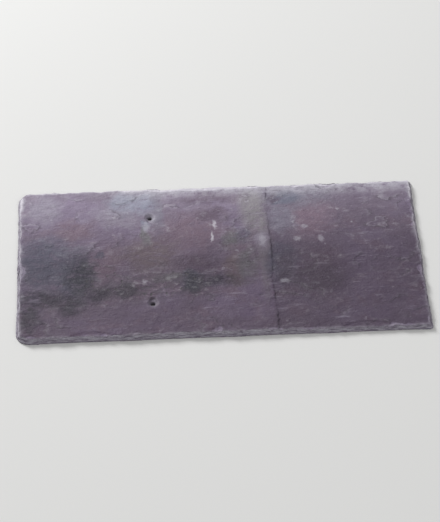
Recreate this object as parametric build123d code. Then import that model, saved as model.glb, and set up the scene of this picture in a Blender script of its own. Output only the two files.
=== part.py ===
from build123d import *
import math
import os

# A riven roof slate, lying on its bed with the weathered face up. X runs from the head to the
# tail, Y across the slate and Z up from the bed. The origin is on the bed, under the middle of
# the slate. Sizes are in millimetres.

# The dressed slate: a 20 by 10 inch roofing slate of heavy quality
slate_length = 508.0
slate_width = 254.0
slate_thickness = 8.0

# The outline: corners knocked round at the head, barely worn at the tail, and sides that the
# knife left a little hollow between the places where they touch the full size
head_corner_radius = 17.0
tail_corner_radius = 4.0
side_hollow = 0.8
side_hollow_spacing = 120.0

# The dressed edge: each blow of the knife leaves a wide shallow flute that slopes in from the
# clean rim above the bed to the face. Short light blows carry the edge round the corners. Half
# the width of a flute is the overlap share of its spacing, so each flute runs into the next.
blow_spacing = 16.0
corner_blow_spacing = 6.0
blow_overlap_share = 0.8
blow_radius = 40.0
blow_inset = 4.0
rim_height = 1.5

# The riven face: one lamina ends in a low step across the slate, and the tail beyond is thinner
step_from_head = 318.0
step_height = 1.2
step_waver = 1.2
step_bends = 6

# Nail holes, one near each long edge, punched from the bed so that the face spalls round them
nail_hole_radius = 2.5
nail_hole_from_head = 168.0
nail_hole_from_edge = 54.0
spall_radius = 7.0
spall_depth = 3.0
side_spall_share = 0.7

# Flakes that have lifted from the face at its long edges: the distance of each from the head,
# the side it is on, half its length along the edge, how far it reaches in, and its thickness
lifted_flakes = [
    (92.0, -1, 30.0, 11.0, 0.6),
    (236.0, 1, 24.0, 10.0, 0.5),
    (372.0, 1, 38.0, 15.0, 0.8),
    (428.0, -1, 34.0, 13.0, 0.6),
    (462.0, 1, 22.0, 12.0, 0.5),
]

# Shapes that are cut away run this far past the surface that they open
cut_past = 2.0

# Handwork is uneven. This turn from one place to the next never repeats, each play is the share
# by which a size strays from its named value, and a pace keeps two sizes from straying together.
uneven_turn = 2.4
hollow_play = 0.4
inset_play = 0.2
radius_play = 0.25
radius_pace = 2
spacing_play = 0.15
spacing_pace = 3

head_x = -slate_length / 2
tail_x = slate_length / 2
side_y = slate_width / 2
tail_height = slate_thickness - step_height


def unevenly(number, play):
    """A share near 1, higher or lower by at most the play, that differs from place to place."""
    return 1 + play * math.sin(uneven_turn * number)


def hollow_side(start, end, inward):
    """One side of the outline, which meets its straight line at both ends and between hollows."""
    run = Vector(end) - Vector(start)
    halves = 2 * max(1, round(run.length / side_hollow_spacing))
    points = []
    for i in range(halves + 1):
        depth = side_hollow * unevenly(i, hollow_play) / (1 + hollow_play) if i % 2 else 0
        points.append(Vector(start) + run * (i / halves) + Vector(inward) * depth)
    return Spline(*points, tangents=[run] * len(points))


def rim_runs():
    """The outline's four hollow sides, each followed by its round corner, in order."""
    head_in = head_x + head_corner_radius
    tail_in = tail_x - tail_corner_radius
    head_side = side_y - head_corner_radius
    tail_side = side_y - tail_corner_radius
    radii = (tail_corner_radius, tail_corner_radius, head_corner_radius, head_corner_radius)
    sides = [
        hollow_side((head_in, -side_y), (tail_in, -side_y), (0, 1)),
        hollow_side((tail_x, -tail_side), (tail_x, tail_side), (-1, 0)),
        hollow_side((tail_in, side_y), (head_in, side_y), (0, -1)),
        hollow_side((head_x, head_side), (head_x, -head_side), (1, 0)),
    ]
    corners = [
        RadiusArc(side @ 1, following @ 0, -radius)
        for side, following, radius in zip(sides, sides[1:] + sides[:1], radii)
    ]
    return [run for pair in zip(sides, corners) for run in pair]


def missing_lamina():
    """What the tail lacks: the top lamina, from the step across the slate to the tail."""
    step_x = head_x + step_from_head
    overhang = side_y + cut_past
    bends = [
        (step_x + step_waver * math.sin(uneven_turn * i), overhang * (2 * i / step_bends - 1))
        for i in range(step_bends + 1)
    ]
    step = Spline(*bends)
    beyond = tail_x + cut_past
    around = Polyline(bends[-1], (beyond, overhang), (beyond, -overhang), bends[0])
    floor = make_face([step, around])
    return Pos(0, 0, tail_height) * extrude(floor, step_height + cut_past)


def lifted_flake(from_head, side, half_length, reach, flake_thickness):
    """A thin scale that has come away at a long edge and left a low hollow in the face."""
    face_height = slate_thickness if from_head < step_from_head else tail_height
    scar = Ellipse(half_length, reach)
    place = Pos(head_x + from_head, side * side_y, face_height - flake_thickness)
    return place * extrude(scar, flake_thickness + cut_past)


def spall(radius, depth):
    """The cone that bursts out of the face round a nail hole, with its point downwards."""
    slope = (radius - nail_hole_radius) / depth
    height = depth + cut_past
    cone = Cone(nail_hole_radius, nail_hole_radius + slope * height, height)
    return Pos(0, 0, slate_thickness - depth + height / 2) * cone


def nail_hole(side):
    """A punched hole, its spall, and a shallower spall beside it towards the slate's middle."""
    bore_length = slate_thickness + 2 * cut_past
    bore = Pos(0, 0, slate_thickness / 2) * Cylinder(nail_hole_radius, bore_length)
    side_spall = spall(side_spall_share * spall_radius, side_spall_share * spall_depth)
    beside = Pos(0, -side * side_spall_share * spall_radius) * side_spall
    place = Pos(head_x + nail_hole_from_head, side * (side_y - nail_hole_from_edge))
    return place * (bore + spall(spall_radius, spall_depth) + beside)


def knife_blow(toe, outward, half_width, number):
    """What one blow strikes off: a chip with a round back, sloping in from the rim to the face."""
    drop = slate_thickness - rim_height
    inset = blow_inset * unevenly(number, inset_play)
    radius = blow_radius * unevenly(radius_pace * number, radius_play)
    up_slope = Vector(0, 0, drop) - outward * inset
    away = outward * drop + Vector(0, 0, inset)
    outside = 2 * blow_inset
    sagitta = radius - math.sqrt(radius**2 - half_width**2)
    back = ThreePointArc((sagitta, -half_width), (0, 0), (sagitta, half_width))
    front = Polyline(back @ 1, (outside, half_width), (outside, -half_width), back @ 0)
    chip = extrude(make_face([back, front]), up_slope.length / 2 + cut_past, both=True)
    return Plane(toe + up_slope / 2, x_dir=away, z_dir=up_slope) * chip


def knife_blows(runs):
    """Every blow of the knife, one beside the next along the sides and round the corners."""
    chips = []
    for run, spacing in zip(runs, 4 * (blow_spacing, corner_blow_spacing)):
        blows = 2 * max(1, round(run.length / spacing / 2))
        for i in range(blows):
            share = (i + unevenly(spacing_pace * i, spacing_play) / 2) / blows
            toe = (run @ share) + Vector(0, 0, rim_height)
            outward = (run % share).cross(Vector(0, 0, 1))
            chips.append(knife_blow(toe, outward, blow_overlap_share * spacing, len(chips)))
    return chips


def slate():
    """The whole slate: a riven blank, dressed all round its edge, flaked and holed."""
    runs = rim_runs()
    chips = knife_blows(runs)
    flakes = [lifted_flake(*flake) for flake in lifted_flakes]
    holes = [nail_hole(side) for side in (1, -1)]
    blank = extrude(make_face(runs).face(), slate_thickness, dir=(0, 0, 1))
    dressed = blank - chips[::2] - chips[1::2]
    return dressed - missing_lamina() - flakes - holes


os.makedirs("parts", exist_ok=True)
tile = slate()
tile.label = "slate"
export_step(tile, "parts/slate.step")
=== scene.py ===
import math

import bpy
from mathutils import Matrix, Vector, noise


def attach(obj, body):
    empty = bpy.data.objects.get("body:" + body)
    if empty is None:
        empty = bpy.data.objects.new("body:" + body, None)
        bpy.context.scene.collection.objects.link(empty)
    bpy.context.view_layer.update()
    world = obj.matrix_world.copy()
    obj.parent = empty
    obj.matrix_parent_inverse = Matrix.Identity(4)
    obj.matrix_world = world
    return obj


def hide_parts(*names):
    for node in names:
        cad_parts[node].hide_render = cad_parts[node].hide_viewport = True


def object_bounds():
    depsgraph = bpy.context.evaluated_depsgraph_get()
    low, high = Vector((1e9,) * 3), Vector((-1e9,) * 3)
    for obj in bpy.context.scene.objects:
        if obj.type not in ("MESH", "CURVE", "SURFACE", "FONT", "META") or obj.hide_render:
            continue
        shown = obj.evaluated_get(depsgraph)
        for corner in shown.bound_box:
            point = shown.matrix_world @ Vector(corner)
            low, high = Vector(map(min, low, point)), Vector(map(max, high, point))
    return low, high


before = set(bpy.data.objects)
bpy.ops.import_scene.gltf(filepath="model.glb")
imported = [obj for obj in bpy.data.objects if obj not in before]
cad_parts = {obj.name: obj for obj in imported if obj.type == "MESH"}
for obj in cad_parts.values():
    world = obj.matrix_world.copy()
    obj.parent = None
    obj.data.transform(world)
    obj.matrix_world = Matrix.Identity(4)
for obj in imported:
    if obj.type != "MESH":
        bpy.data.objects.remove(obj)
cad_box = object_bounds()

# The slate: one piece of riven stone, split along its cleavage and dressed round the edge with a
# knife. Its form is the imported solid's. The relief of the split, the broken layers of the edge and
# the flakes off its arris are worked into a finer copy, which then stands for that solid.
millimetre = 0.001
head_x, near_y, bed_z = (end / millimetre for end in cad_box[0])
tail_x, far_y, face_z = (end / millimetre for end in cad_box[1])
slate_length, slate_width = tail_x - head_x, far_y - near_y

# Where the part has its step and its nail holes
step_x = head_x + 318
tail_z = face_z - 1.2
hole_from_head, hole_from_edge = 168, 54

bpy.ops.object.select_all(action="DESELECT")
slate = bpy.data.objects.new("riven_slate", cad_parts["slate"].data.copy())
bpy.context.scene.collection.objects.link(slate)
slate.select_set(True)
bpy.context.view_layer.objects.active = slate
bpy.ops.object.mode_set(mode="EDIT")
bpy.ops.mesh.select_all(action="SELECT")
bpy.ops.mesh.remove_doubles(threshold=0.01 * millimetre)
bpy.ops.object.mode_set(mode="OBJECT")


def finish_with(kind, **settings):
    """Adds a modifier with these settings to the slate and applies it."""
    modifier = slate.modifiers.new(kind.title(), kind)
    for name, value in settings.items():
        setattr(modifier, name, value)
    bpy.ops.object.modifier_apply(modifier=modifier.name)


# The edge needs a finer mesh than the face, because its layers are thin.
finish_with("REMESH", mode="VOXEL", voxel_size=0.9 * millimetre)
for side in slate.data.polygons:
    side.select = abs(side.normal.z) < 0.85
bpy.ops.object.mode_set(mode="EDIT")
bpy.ops.mesh.select_mode(type="FACE")
bpy.ops.mesh.subdivide(number_cuts=1)
bpy.ops.object.mode_set(mode="OBJECT")


def smooth_step(low, high, value):
    """0 up to low, 1 from high, and an even slope between."""
    share = max(0.0, min(1.0, (value - low) / (high - low)))
    return share * share * (3 - 2 * share)


def cloud(x, y, level, long, wide, octaves, deep=1):
    """Noise near 0 with features of these sizes in millimetres, and a pattern for each level."""
    return noise.fractal((x / long, y / wide, level / deep), 1.0, 2.0, octaves)


def torn(x, y, level, most):
    """How many laminae have torn away at a place, and how far it is a pale lip, bruised and partly a
    painted highlight, and a dark foot, dirty and partly painted shade.
    """
    depth = max(0.0, 1.3 - 2.2 * cloud(x, y, level, 95, 55, 5))
    whole = math.floor(depth)
    crispness = smooth_step(-0.3, 0.45, cloud(x, y, level + 31, 45, 35, 3))
    lip = smooth_step(0.9, 0.99, depth - whole) if whole < most else 0.0
    foot = smooth_step(0.1, 0.02, depth - whole) if 0 < whole <= most else 0.0
    return Vector((min(most, whole), lip, foot)) * crispness


# The laminae and the swells of the split, and the place round which the face is calmest
lamina, bed_lamina = 0.28, 0.25
face_swell, bed_swell = 0.3, 0.25
calm_x, calm_y = head_x + 205, far_y - 85


def riven_face(x, y, wear):
    """The depth of the split face, from its swells and from the laminae that have torn away."""
    swell = 0.7 + cloud(x, y, 0, 120, 70, 2) + 0.25 * cloud(x, y, 17, 22, 9, 2)
    calm = smooth_step(85, 35, math.hypot(x - calm_x, 1.4 * (y - calm_y)))
    depth, lip, foot = torn(x, y, 9, 3) * (1 - 0.85 * calm)
    # Its pale lip is partly a painted highlight, and its dark foot partly painted shade.
    wear["bruised"] = max(wear["bruised"], 0.5 * lip)
    wear["sheltered"] = max(wear["sheltered"], 0.8 * foot)
    return face_swell * max(0.0, swell) + lamina * depth


def riven_bed(x, y, wear):
    """The height of the split bed, which is riven in fewer and lower steps than the face."""
    swell = 0.8 + cloud(x, y, 83, 90, 55, 4)
    depth, lip, foot = torn(x, y, 177, 2)
    # Its pale lip is partly a painted highlight, and its dark foot partly painted shade.
    wear["bruised"] = 0.4 * lip
    wear["sheltered"] = max(wear["sheltered"], 0.6 * foot)
    return bed_swell * max(0.0, swell) + bed_lamina * depth


# The scales of the arris, how far in it is worn, and where its far side is rubbed widest and a
# highlight is painted along it
scale_thickness, scale_width = 0.4, 2.4
arris_width = 18
most_rubbed_and_highlit_x = head_x + 220


def broken_scales(x, y, from_edge, wear):
    """The depth of the scales that have broken off along the arris, layer under layer."""
    ragged = 1.5 * cloud(x, y, 57, 5, 5, 2)
    reach = 3 + 10 * max(0.0, 0.02 + cloud(x, y, 31, 26, 26, 4)) + ragged
    depth = 0.0
    for scale in range(3):
        bared = smooth_step(0, 0.7, reach - scale_width * scale - from_edge)
        wear["scarred"] = max(wear["scarred"], bared)
        wear["bruised"] = max(wear["bruised"], 3 * bared * (1 - bared))
        depth += scale_thickness * bared
    # A pale band along the arris, bruised by rubbing, and along the far side partly a painted
    # highlight.
    rubbed_and_highlit_width = 5 + 3 * cloud(x, y, 3, 24, 24, 4)
    if far_y - y < arris_width:
        rubbed_and_highlit_width += 3.5 * smooth_step(110, 60, abs(x - most_rubbed_and_highlit_x))
    rubbed_and_highlit = smooth_step(rubbed_and_highlit_width + 1.8, rubbed_and_highlit_width - 0.6, from_edge)
    wear["bruised"] = max(wear["bruised"], rubbed_and_highlit)
    return depth


def ragged_step(x, y, z, wear):
    """The move of a place near the step, where the lamina thins out to a ragged torn end."""
    beyond, from_far = x - step_x, far_y - y
    thinness = cloud(0, y, 61, 1, 24, 3) + 0.3 * smooth_step(70, 20, from_far)
    thinness = smooth_step(-0.2, 0.3, thinness)
    thinned = 0.7 * thinness * smooth_step(9, 0, -beyond) * max(0.0, z - tail_z)
    sway = 1.5 * cloud(0, y, 5, 1, 11, 4) * smooth_step(11, 2, abs(beyond))
    # A dark line at the foot of the step, partly dirt and partly painted shade.
    foot = smooth_step(5, 1, beyond) * smooth_step(-1.5, 1, beyond) * smooth_step(60, 110, from_far)
    kept = wear["sheltered"] * (1 - 0.8 * thinness)
    wear["sheltered"] = max(kept, foot * (0.5 - 0.4 * thinness))
    return Vector((sway, 0, -thinned))


# The layers of the dressed edge, and how far they have broken back
edge_layer, edge_breakage = 1.15, 1.1


def broken_layer(x, y, z):
    """How far the layer of the dressed edge at a place has broken back, each by its own amount."""
    layer = math.floor((z + 0.5 * cloud(x, y, 0, 50, 50, 2)) / edge_layer)
    grit = 0.3 * cloud(x, y, z, 3.5, 3.5, 2, deep=1.2)
    return edge_breakage * max(0.0, 0.45 + 0.6 * cloud(x, y, 13.7 * layer, 13, 13, 3) + grit)


# The wear of each place: how far it is on the dressed edge, bruised pale and partly a painted
# highlight, scarred by a lost scale, or in a recess, dirty and partly painted shade.
worn = {"dressed": [], "bruised": [], "scarred": [], "sheltered": []}
edge_width = 11
step_reach = 14
lowest_face = 5
places = [vertex.co / millimetre for vertex in slate.data.vertices]
slopes = [vertex.normal.copy() for vertex in slate.data.vertices]
for place, slope in zip(places, slopes):
    x, y, z = place
    from_edge = min(x - head_x, tail_x - x, far_y - y, y - near_y)
    steep = smooth_step(0.88, 0.7, abs(slope.z))
    on_edge = steep if from_edge < edge_width else 0.0
    # The top of the dressed edge is pale in patches, from bruising and partly as a painted
    # highlight.
    bruised = smooth_step(5.8, 6.8, z) * smooth_step(-0.1, 0.35, cloud(x, y, 40, 18, 18, 3))
    wear = {
        "dressed": on_edge,
        "bruised": on_edge * bruised,
        "scarred": 0.0,
        "sheltered": steep - on_edge,
    }
    if slope.z > 0.5 and z > lowest_face:
        place.z -= riven_face(x, y, wear)
        if from_edge < arris_width:
            place.z -= broken_scales(x, y, from_edge, wear)
    if slope.z > -0.5 and abs(x - step_x) < step_reach and z > lowest_face:
        place += ragged_step(x, y, z, wear)
    if slope.z < -0.5:
        place.z += riven_bed(x, y, wear)
    if on_edge > 0:
        outward = Vector((slope.x, slope.y, 0)).normalized()
        place -= outward * (on_edge * broken_layer(x, y, z))
    for name, share in wear.items():
        worn[name].append(share)

lengths = [length * millimetre for place in places for length in place]
slate.data.vertices.foreach_set("co", lengths)
slate.data.update()
for name, shares in worn.items():
    slate.data.attributes.new(name, "FLOAT", "POINT").data.foreach_set("value", shares)

triangle_budget = 190_000
bpy.ops.object.mode_set(mode="EDIT")
bpy.ops.mesh.select_all(action="SELECT")
bpy.ops.mesh.quads_convert_to_tris()
bpy.ops.object.mode_set(mode="OBJECT")
finish_with("DECIMATE", ratio=triangle_budget / len(slate.data.polygons))
for vertex in slate.data.vertices:
    vertex.co.z = min(max(vertex.co.z, bed_z * millimetre), face_z * millimetre)
bpy.ops.object.shade_smooth_by_angle(angle=math.radians(50))

# The map for a baked finish. The face lies at the top and the bed at the bottom. The four dressed
# sides are strips between them, stretched upwards to keep their layers apart, and each bore is
# unrolled beside the bed. Each area has its left and lower ends, its width and its height.
face_area = (0.01, 0.505, 0.98, 0.49)
far_strip = (0.01, 0.45, 0.98, 0.048)
near_strip = (0.01, 0.39, 0.98, 0.048)
head_strip = (0.01, 0.33, 0.48, 0.048)
tail_strip = (0.51, 0.33, 0.48, 0.048)
bed_area = (0.01, 0.01, 0.62, 0.31)
bore_areas = [(0.73, 0.05, 0.1, 0.1), (0.88, 0.05, 0.1, 0.1)]
hole_x = head_x + hole_from_head
holes = [(hole_x, far_y - hole_from_edge), (hole_x, near_y + hole_from_edge)]
bore_reach = 3.4
unrolled = slate.data.uv_layers.new(name="OFBake").uv
dressing = slate.data.attributes["dressed"].data
for side in slate.data.polygons:
    middle = side.center / millimetre
    hole = next((hole for hole in holes if math.dist(hole, middle.xy) < bore_reach), None)
    dressed = sum(dressing[corner].value for corner in side.vertices) > 1.5
    for loop, corner in zip(side.loop_indices, side.vertices):
        x, y, z = slate.data.vertices[corner].co / millimetre
        along, across, up = (x - head_x) / slate_length, (y - near_y) / slate_width, z / face_z
        if hole and abs(side.normal.z) < 0.7:
            # A corner's turn is measured from its side's middle, so that no side is cut in two.
            turn = math.atan2(middle.y - hole[1], middle.x - hole[0])
            arm = complex(x - hole[0], y - hole[1]) * complex(math.cos(turn), -math.sin(turn))
            around = (turn + math.atan2(arm.imag, arm.real)) / math.tau
            area, spot = bore_areas[holes.index(hole)], (around, up)
        elif dressed and abs(side.normal.y) > abs(side.normal.x):
            area, spot = far_strip if side.normal.y > 0 else near_strip, (along, up)
        elif dressed:
            area, spot = head_strip if side.normal.x < 0 else tail_strip, (across, up)
        else:
            area, spot = face_area if side.normal.z > 0 else bed_area, (along, across)
        left, low, wide, tall = area
        unrolled[loop].vector = left + wide * spot[0], low + tall * spot[1]


# The finish: plum stone, bleached and stained by the weather, with dust, lime and dirt on it, and
# some light and shade painted in.
class Signal:
    """A socket of the stone's shader. Sums on it add Math nodes, and node() adds any other node."""

    def __init__(self, socket):
        self.socket = socket

    def node(self, kind, settings, inputs, output=0):
        """A new node of this kind, given its settings and the values or links of its sockets."""
        tree = self.socket.id_data
        made = tree.nodes.new("ShaderNode" + kind)
        for name, value in settings.items():
            setattr(made, name, value)
        for name, value in inputs.items():
            if isinstance(value, Signal):
                tree.links.new(value.socket, made.inputs[name])
            else:
                made.inputs[name].default_value = value
        return Signal(made.outputs[output])

    def math(self, operation, first, second=0.0):
        return self.node("Math", {"operation": operation}, {0: first, 1: second})

    def __add__(self, other):
        return self.math("ADD", self, other)

    def __sub__(self, other):
        return self.math("SUBTRACT", self, other)

    def __rsub__(self, other):
        return self.math("SUBTRACT", other, self)

    def __mul__(self, other):
        return self.math("MULTIPLY", self, other)

    __radd__ = __add__
    __rmul__ = __mul__

    def larger(self, other):
        return self.math("MAXIMUM", self, other)

    def within(self, low, high):
        """0 at low and 1 at high, with a soft slope between."""
        limits = {"Value": self, "From Min": low, "From Max": high}
        return self.node("MapRange", {"interpolation_type": "SMOOTHSTEP"}, limits)

    def mix(self, low, high, blend="MIX"):
        """The colour low where this is 0, and high laid over it where this is 1."""
        settings = {"data_type": "RGBA", "blend_type": blend}
        return self.node("Mix", settings, {0: self, 6: low, 7: high}, output=2)


def stone_colour(red, green, blue):
    """A colour of the stone, given in steps of 255, as the light values of a shader."""
    return (*[((step / 255 + 0.055) / 1.055) ** 2.4 for step in (red, green, blue)], 1)


stone = bpy.data.materials.new("plum_slate")
stone.use_nodes = True
shader = stone.node_tree.nodes["Principled BSDF"]
where = Signal(stone.node_tree.nodes.new("ShaderNodeTexCoord").outputs["Object"])
where = where.node("VectorMath", {"operation": "SCALE"}, {0: where, "Scale": 1 / millimetre})
from_head = where.node("SeparateXYZ", {}, {0: where}, output=0) - head_x
from_far_edge = far_y - where.node("SeparateXYZ", {}, {0: where}, output=1)
height = where.node("SeparateXYZ", {}, {0: where}, output=2)
is_dressed, is_bruised_and_highlit, is_scarred, is_dirty_and_shaded = [
    where.node("Attribute", {"attribute_name": name}, {}, output=2) for name in worn
]


def grain(size, detail, roughness, distortion=0.0, stretch=(1, 1, 1), turn=0.0, at=0.0, output=0):
    """Clouds of about this size in millimetres, stretched along X, Y and Z and turned about Z."""
    turned = {"Vector": where, "Location": (at, at, at), "Rotation": (0, 0, turn), "Scale": stretch}
    scaled = where.node("Mapping", {"vector_type": "TEXTURE"}, turned)
    settings = {
        "Vector": scaled, "Scale": 1 / size, "Detail": detail, "Roughness": roughness,
        "Distortion": distortion,
    }
    return where.node("TexNoise", {}, settings, output=output)


def specks(on, spacing, radius, at):
    """Dots of many sizes up to this radius, one at most to each cell of this spacing."""
    moved = where.node("Mapping", {"vector_type": "POINT"}, {"Vector": on, "Location": (at, at, 0)})
    inputs = {"Vector": moved, "Scale": 1 / spacing}
    settings = {"voronoi_dimensions": "2D"}
    distance = where.node("TexVoronoi", settings, inputs)
    cell = where.node("TexVoronoi", settings, inputs, output=1)
    chance = where.node("SeparateColor", {}, {0: cell})
    size = (chance - 0.5) * (2 * radius / spacing)
    return (size - distance).within(0, 0.3 * radius / spacing)


def flattened(spot):
    """A place on the face without its height, so that a stain doesn't change down an edge."""
    return spot.node("VectorMath", {"operation": "MULTIPLY"}, {0: spot, 1: (1, 1, 0)})


def strayed(size, reach):
    """The place on the face, led astray by clouds of this size, which make a stain's rim ragged."""
    clouds = grain(size, 4, 0.6, output=1)
    leaning = where.node("VectorMath", {"operation": "SUBTRACT"}, {0: clouds, 1: (0.5, 0.5, 0.5)})
    astray = {0: leaning, 1: (reach, reach, reach), 2: where}
    return flattened(where.node("VectorMath", {"operation": "MULTIPLY_ADD"}, astray))


ragged = strayed(22, 36)
crisp = strayed(5, 9)
neat = flattened(where)


def spots(*ovals, on=ragged):
    """1 in the middle of each oval and 0 outside them all. An oval is given by how far its middle
    is from the head and from the far edge, half its length, half its width and its turn, if any."""
    joined = None
    for from_the_head, from_the_edge, half_length, half_width, *turn in ovals:
        oval = {
            "Vector": on,
            "Location": (head_x + from_the_head, far_y - from_the_edge, 0),
            "Rotation": (0, 0, math.radians(turn[0] if turn else 0)),
            "Scale": (half_length, half_width, 1),
        }
        mapped = where.node("Mapping", {"vector_type": "TEXTURE"}, oval)
        outwards = where.node("VectorMath", {"operation": "LENGTH"}, {0: mapped}, output=1)
        mask = outwards.within(1.3, 0.35)
        joined = joined.larger(mask) if joined else mask
    return joined


plum = stone_colour(130, 116, 136)
violet = stone_colour(143, 129, 154)
mauve = stone_colour(142, 121, 138)
lavender = stone_colour(160, 153, 170)
blue_grey = stone_colour(160, 164, 182)
warm_grey = stone_colour(152, 148, 153)
green_grey = stone_colour(130, 131, 132)
brown_grey = stone_colour(138, 124, 127)
red_plum = stone_colour(104, 86, 105)
dark_plum = stone_colour(96, 83, 102)
rain_grey = stone_colour(143, 140, 156)
slate_blue = stone_colour(103, 107, 127)
dirt = stone_colour(62, 58, 64)
dust = stone_colour(184, 181, 192)
lime = stone_colour(208, 204, 214)

broad = grain(75, 4, 0.6, 0.5, (1.5, 1, 1))
patchy = grain(26, 5, 0.65, 0.3, (1.4, 1, 1), at=400)
mottled = grain(9, 5, 0.7, 0.0, (1.3, 1, 1), at=900)
fine = grain(2.6, 4, 0.7, at=50)
lineation = grain(5, 4, 0.65, 0.0, (6, 1, 1), turn=0.05, at=130)
layers = grain(14, 4, 0.65, 0.2, (1, 1, 0.06))

colour = broad.within(0.38, 0.62).mix(plum, violet)
colour = (patchy.within(0.46, 0.66) * 0.6).mix(colour, mauve)
# Paler lavender towards the far edge: the stone's own tone, and partly painted light that makes the
# far side lighter.
colour = (from_far_edge.within(90, 0) * patchy.within(0.3, 0.65) * 0.55).mix(colour, lavender)
colour = (from_head.within(313, 321) * 0.4).mix(colour, dark_plum)

# Stains, each at its place on the face, with rims that the weather has left ragged.
uneven = 0.5 + 0.5 * mottled.within(0.3, 0.58)
for tint, strength, mask in (
    (violet, 1.0, spots((84, 40, 32, 22), (70, 30, 26, 22))),
    (lavender, 0.9, spots((118, 50, 30, 20), (34, 34, 26, 26), (142, 58, 20, 16))),
    (blue_grey, 0.9, spots((140, 26, 24, 24), (163, 26, 14, 24), (165, 68, 6, 12))),
    (mauve, 1.0, spots(
        (220, 84, 40, 38), (70, 74, 30, 20), (372, 68, 34, 36), (112, 130, 24, 34),
    )),
    (brown_grey, 0.9, spots((166, 118, 44, 32), (272, 150, 14, 40))),
    (red_plum, 0.8, spots(
        (243, 22, 42, 13), (246, 50, 22, 13), (226, 140, 36, 18), (380, 150, 34, 36),
    )),
    (rain_grey, 0.9, spots((178, 40, 9, 44), (352, 22, 52, 24), (333, 64, 22, 28))),
    (green_grey, 0.9, spots(
        (271, 96, 13, 17), (163, 86, 8, 16), (190, 158, 22, 10), (290, 140, 14, 34),
    )),
    (warm_grey, 1.0, spots((299, 44, 18, 52), (310, 110, 9, 96), on=crisp)),
    (lavender, 0.8, spots((308, 102, 10, 18), (76, 108, 26, 10, 12))),
    (slate_blue, 0.95, spots((34, 128, 46, 50), (70, 150, 30, 46), (216, 168, 12, 20))),
    (slate_blue, 0.55, spots((285, 90, 11, 14))),
    (slate_blue, 0.85, spots((342, 26, 18, 14), (330, 138, 20, 36), (104, 116, 6, 10))),
    (dark_plum, 0.85, spots((329, 24, 9, 9), (372, 170, 46, 26), (336, 152, 15, 40))),
):
    colour = (mask * uneven * strength).mix(colour, tint)

# The face darkens away from its far edge, partly from grime and partly as painted shade, and is
# grimiest in some low patches, mottled there.
deep = stone_colour(161, 150, 162)
colour = from_far_edge.within(-30, 150).mix(colour, deep, "MULTIPLY")
murk = stone_colour(120, 117, 140)
grimy = spots(
    (80, 152, 20, 44), (30, 188, 46, 18), (16, 218, 16, 26), (66, 200, 22, 22),
    (104, 184, 24, 16), (134, 176, 13, 18), (216, 172, 14, 22), (240, 166, 44, 16),
)
colour = (grimy * uneven * 0.9).mix(colour, murk, "MULTIPLY")
mottles = spots((175, 172, 84, 28))
colour = (mottles * mottled.within(0.56, 0.4) * 0.5).mix(colour, dirt)
colour = (mottles * mottled.within(0.52, 0.66) * 0.32).mix(colour, warm_grey)

# Pale dust holds to the high grain, and the low grain is dark. The dust is strongest along the far
# edge, partly as painted light that makes the far side paler.
dust_and_light = 1 - 0.6 * from_far_edge.within(60, 150)
colour = (mottled.within(0.5, 0.75) * patchy.within(0.4, 0.6) * dust_and_light * 0.4).mix(colour, dust)
colour = (mottled.within(0.46, 0.24) * 0.5).mix(colour, dark_plum)
colour = (fine.within(0.55, 0.75) * dust_and_light * 0.2).mix(colour, dust)
colour = (fine.within(0.42, 0.22) * 0.4).mix(colour, dirt)
far_dust_and_light = from_far_edge.within(28, 6) * from_head.within(80, 180) * mottled.within(0.3, 0.58)
colour = (far_dust_and_light * 0.75).mix(colour, dust)
colour = (lineation.within(0.55, 0.72) * broad.within(0.45, 0.6) * 0.3).mix(colour, lavender)

# Flecks of lime, scuffs, lichen and specks of dirt.
flecks = spots((250, 70, 2.4, 8, 4), (246, 92, 2, 9, -6), on=crisp)
colour = (flecks * 0.6).mix(colour, lime)
faint = spots(
    (363, 78, 5, 4), (353, 99, 5, 5), (383, 100, 3.5, 7), (332, 170, 6, 4), (158, 163, 4, 3),
    (309, 100, 5, 12), on=crisp,
)
colour = (faint * 0.32).mix(colour, dust)
scuff = grain(3, 3, 0.6, 0.0, (22, 1, 1), turn=0.12, at=700).within(0.66, 0.76)
scuff = scuff.larger(grain(2.4, 3, 0.6, 0.0, (16, 1, 1), turn=-0.5, at=300).within(0.69, 0.78))
colour = (scuff * dust_and_light * 0.35).mix(colour, dust)
lichen = specks(crisp, 19, 3, 35) * patchy.within(0.45, 0.62)
colour = (lichen * dust_and_light * 0.4).mix(colour, dust)
grime = specks(crisp, 9, 3, 140) * (0.15 + spots((150, 168, 90, 26))).within(0.1, 0.8)
colour = (grime * 0.85).mix(colour, dirt)

# The dressed edge shows its layers. Its arris is bruised pale, most of all along the far edge, where
# part of the paleness is a painted highlight. The scars on it are fresher.
colour = (is_scarred * 0.4).mix(colour, violet)
banded = (layers.within(0.4, 0.6) * 0.7 + fine * 0.25).mix(dark_plum, dust)
colour = (is_dressed * 0.85).mix(colour, banded)
near_far_edge = from_far_edge.within(60, 20).larger(from_far_edge.within(170, 60) * 0.4)
rubbed_and_highlit = 0.2 + 0.8 * near_far_edge
paled = is_bruised_and_highlit * rubbed_and_highlit * (0.5 + 0.5 * mottled.within(0.3, 0.5))
colour = (paled * 0.9).mix(colour, is_bruised_and_highlit.within(0.6, 1.0).mix(dust, lime))

# Each nail hole has a pale burst round it, and the far one a pale streak, a painted highlight on its
# lower wall. Its throat and the foot of each step are darker, partly dirt and partly painted shade.
far_hole = (hole_from_head, hole_from_edge)
near_hole = (hole_from_head, slate_width - hole_from_edge)
near_burst = spots((*near_hole, 8, 8), on=crisp)
bursts_and_highlight = spots((*far_hole, 9, 9), (163, 70, 5, 10), on=crisp).larger(near_burst * 0.5)
colour = (bursts_and_highlight * uneven * 0.4).mix(colour, dust)
throats = spots((*far_hole, 3.9, 3.7), (*near_hole, 3.9, 3.7), on=neat)
colour = (throats.larger(is_dirty_and_shaded * 0.6) * 0.9).mix(colour, dirt)

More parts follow.
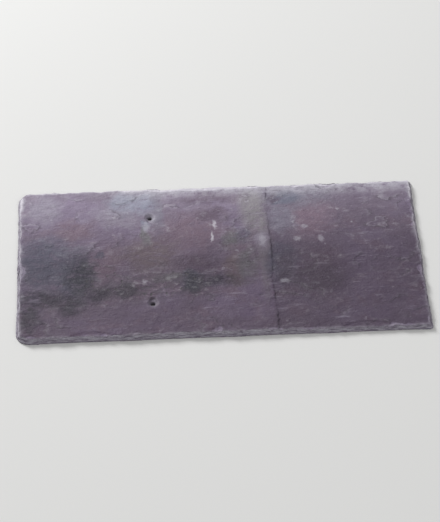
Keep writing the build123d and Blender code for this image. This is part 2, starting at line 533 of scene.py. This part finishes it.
# The weather doesn't reach the bed, so it is cleaner and darker than the face.
bed_colour = broad.within(0.35, 0.65).mix(plum, dark_plum)
bed_colour = (patchy.within(0.45, 0.65) * 0.5).mix(bed_colour, slate_blue)
bed_colour = (mottled.within(0.6, 0.3) * 0.4).mix(bed_colour, dark_plum)
bed_colour = (lineation.within(0.5, 0.72) * 0.2).mix(bed_colour, lavender)
# Pale lips, partly a painted highlight, and dark recesses, partly painted shade.
bed_colour = (is_bruised_and_highlit * 0.4).mix(bed_colour, dust)
bed_colour = is_dirty_and_shaded.mix(bed_colour, dirt)
colour = height.within(1.6, 0.9).mix(colour, bed_colour)
stone.node_tree.links.new(colour.socket, shader.inputs["Base Color"])

roughness = 0.52 + 0.16 * mottled + 0.12 * fine + 0.1 * is_dressed
stone.node_tree.links.new(roughness.socket, shader.inputs["Roughness"])

# Relief too fine for the mesh: low terraces like those of the split, the grain, the thin layers of
# the edge, pits under the dirt, and lichen that stands proud.
terraces = grain(30, 6, 0.6, 0.3, (1.6, 1, 1), at=610) * 14
above = terraces.math("FRACT", terraces)
terraces = terraces - above + above.within(0, 0.75)
relief = 0.22 * terraces + 0.8 * mottled + 0.4 * fine + 0.4 * lineation
relief = relief + is_dressed * 0.8 * layers - grime * 0.3 + lichen * 0.15
bumped = relief.node("Bump", {}, {"Height": relief, "Strength": 1.0, "Distance": millimetre})
stone.node_tree.links.new(bumped.socket, shader.inputs["Normal"])
slate.data.materials.clear()
slate.data.materials.append(stone)

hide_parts("slate")
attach(slate, "root")

# The stage: a plain pale floor under the slate, which isn't part of it.
bpy.ops.mesh.primitive_plane_add(size=14, location=(0, 0, bed_z * millimetre))
floor = bpy.context.object
floor.name = "floor"
pale = bpy.data.materials.new("pale_floor")
pale.use_nodes = True
pale.node_tree.nodes["Principled BSDF"].inputs["Base Color"].default_value = (0.75, 0.75, 0.74, 1)
pale.node_tree.nodes["Principled BSDF"].inputs["Roughness"].default_value = 0.9
floor.data.materials.append(pale)


def soft_lamp(name, place, size, watts):
    """A square soft light at a place, aimed at the slate."""
    lamp = bpy.data.objects.new(name, bpy.data.lights.new(name, "AREA"))
    lamp.data.size = size
    lamp.data.energy = watts
    lamp.location = place
    lamp.rotation_euler = (-Vector(place)).to_track_quat("-Z", "Y").to_euler()
    bpy.context.scene.collection.objects.link(lamp)


soft_lamp("key_light", place=(-2.0, 2.7, 1.9), size=1.2, watts=144)
soft_lamp("fill_light", place=(1.6, -2.8, 3.2), size=2.4, watts=40)

world = bpy.data.worlds.new("studio")
world.use_nodes = True
world.node_tree.nodes["Background"].inputs["Color"].default_value = (1, 1, 1, 1)
world.node_tree.nodes["Background"].inputs["Strength"].default_value = 0.38
bpy.context.scene.world = world
bpy.context.scene.view_settings.view_transform = "Standard"

# The camera looks down on the slate from beyond its near edge and a little from the head's side.
elevation = math.radians(47)
azimuth = math.radians(-3)
distance = 2.6
level, up = math.cos(elevation), math.sin(elevation)
towards_camera = Vector((math.sin(azimuth) * level, -math.cos(azimuth) * level, up))
camera = bpy.data.objects.new("camera", bpy.data.cameras.new("camera"))
camera.data.lens = 143
camera.location = towards_camera * distance
camera.rotation_euler = (-towards_camera).to_track_quat("-Z", "Y").to_euler()
bpy.context.scene.collection.objects.link(camera)
bpy.context.scene.camera = camera
